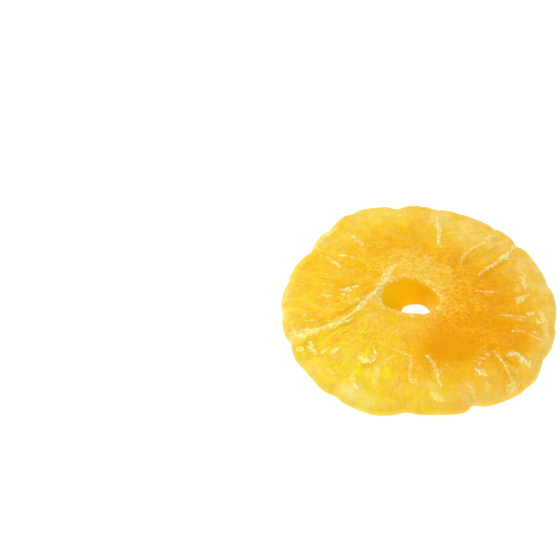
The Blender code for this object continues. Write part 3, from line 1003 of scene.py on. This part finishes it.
def flesh_material():
    flesh, tree, shader = new_material("candied_flesh")
    here = add_node(tree, "ShaderNodeTexCoord").outputs["Object"]
    fibre_way = read_attribute(tree, "fibre_way", "Vector")
    grain = noise_value(tree, here, GRAINS_PER_METRE, 3.0)
    mottle = noise_value(tree, here, MOTTLES_PER_METRE, 3.0)
    fibre = noise_value(tree, fibre_way, FIBRE_FINENESS, 2.0)
    etched, ground = etched_lines(tree, here, fibre_way)
    # Painted shade from the streaks and grooves, joined with the amber dashes along the fibres.
    painted_shade_and_dashes = maths(tree, "MAXIMUM", read_attribute(tree, "painted_shade_and_dashes"), amber_flecks(tree, fibre_way))
    under_sugar = flesh_colour(tree, mottle, fibre, etched, ground, painted_shade_and_dashes)
    colour, sugar = sugar_over(tree, under_sugar, grain)
    sockets = {
        "Base Color": colour,
        "Roughness": spread(tree, sugar, 0.0, 1.0, FLESH_ROUGHNESS, SUGAR_ROUGHNESS),
        "Subsurface Weight": SCATTER_SHARE,
        "Subsurface Radius": SCATTER_RADIUS,
        "Subsurface Scale": SCATTER_DEPTH,
        "IOR": 1.42,
        "Specular IOR Level": 0.18,
        "Specular Tint": GLOSS_TINT,
        "Normal": flesh_bumps(tree, fibre, mottle, etched, grain),
    }
    plug(tree, shader, sockets)
    return flesh


ring.data.materials.append(flesh_material())
choose(ring)
bpy.ops.object.shade_smooth()
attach(ring, "root")
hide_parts("pineapple_ring")
print("flesh:", sum(len(face.vertices) - 2 for face in ring.data.polygons), "triangles")

# %% [markdown]
# ## Sugar grains
# Sugar dries out of the syrup as tiny crystals. One grain is modelled: a coarse ball squashed to a rough
# crystal. It is then copied to places drawn by chance, where more sugar makes more grains, and most
# are small. Instances would be lighter, but the copies have to be real mesh, so they are joined as
# one piece. Each has its middle sunk into the flesh, so that none floats.

# %% One grain
CRYSTAL_SIDES = (1.0, 0.8, 0.6)


def model_grain():
    bpy.ops.object.select_all(action="DESELECT")
    bpy.ops.mesh.primitive_ico_sphere_add(subdivisions=1, radius=0.5)
    grain = bpy.context.active_object
    bpy.ops.object.mode_set(mode="EDIT")
    bpy.ops.mesh.select_all(action="SELECT")
    bpy.ops.transform.resize(value=CRYSTAL_SIDES)
    bpy.ops.object.mode_set(mode="OBJECT")
    corners = vertex_values(grain.data, "co")
    faces = [tuple(face.vertices) for face in grain.data.polygons]
    bpy.data.objects.remove(grain, do_unlink=True)
    return corners, faces


grain_corners, grain_faces = model_grain()
print("one grain has", len(grain_faces), "faces")

# %% Scatter the grains
GRAIN_COUNT = 1900
SMALLEST_GRAIN = 0.12 * MM
LARGEST_GRAIN = 0.42 * MM
SUNK_SHARE = 0.18
LOWEST_GRAIN = 0.5 * MM
STRAY_CHANCE = 0.035
UNDERSIDE_CHANCE = 0.1
SUGAR_POWER = 1.5
SEED = 7


def grain_places(draw):
    """Vertices to put a grain on, drawn with sugar as the weight, in clusters."""
    chance = (sugar**SUGAR_POWER + STRAY_CHANCE * clustered) * (1 - in_hole)
    chance *= 1 - (1 - UNDERSIDE_CHANCE) * faces_down
    chance = np.where(carved[:, 2] < LOWEST_GRAIN, 0.0, chance)
    return draw.choice(len(carved), size=GRAIN_COUNT, replace=False, p=chance / chance.sum())


def scatter_grains():
    draw = np.random.default_rng(SEED)
    random.seed(SEED)
    corners = []
    faces = []
    for index in grain_places(draw):
        size = SMALLEST_GRAIN + (LARGEST_GRAIN - SMALLEST_GRAIN) * random.random() ** 3
        turn = Matrix.Rotation(random.uniform(0, math.tau), 3, Vector((draw.normal(), draw.normal(), 1)))
        middle = carved[index] - normals[index] * size * SUNK_SHARE
        first = len(corners)
        corners.extend(grain_corners @ np.array(turn) * size + middle)
        faces.extend(tuple(first + corner for corner in face) for face in grain_faces)
    mesh = bpy.data.meshes.new("sugar_grains")
    mesh.from_pydata(keep_in_box(np.array(corners)).tolist(), [], faces)
    grains = bpy.data.objects.new("sugar_grains", mesh)
    bpy.context.scene.collection.objects.link(grains)
    return grains


grains = scatter_grains()
print("grains:", GRAIN_COUNT, "with", len(grains.data.polygons), "triangles")

# %% [markdown]
# ## The grains' finish
# A crystal is clear, but so small that it reads as a pale speck tinted by the flesh under it. A pale
# colour that scatters a little and has a half-gloss surface gives that without the cost of glass.

# %% Sugar material
CRYSTAL_WHITE = (1.0, 0.80, 0.40, 1.0)
CRYSTAL_GOLD = (0.93, 0.62, 0.10, 1.0)
CLOUDS_PER_METRE = 900.0


def sugar_material():
    crystal, tree, shader = new_material("sugar_crystal")
    here = add_node(tree, "ShaderNodeTexCoord").outputs["Object"]
    cloud = noise_value(tree, here, CLOUDS_PER_METRE)
    sockets = {
        "Base Color": blend_colours(tree, spread(tree, cloud, 0.35, 0.62), CRYSTAL_GOLD, CRYSTAL_WHITE),
        "Roughness": spread(tree, cloud, *NOISE_SPAN, 0.25, 0.5),
        "Specular IOR Level": 0.3,
        "Subsurface Weight": 0.4,
        "Subsurface Radius": (1.0, 0.8, 0.5),
        "Subsurface Scale": 0.3 * MM,
    }
    plug(tree, shader, sockets)
    return crystal


grains.data.materials.append(sugar_material())
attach(grains, "root")
print("sugar finish:", grains.data.materials[0].name)
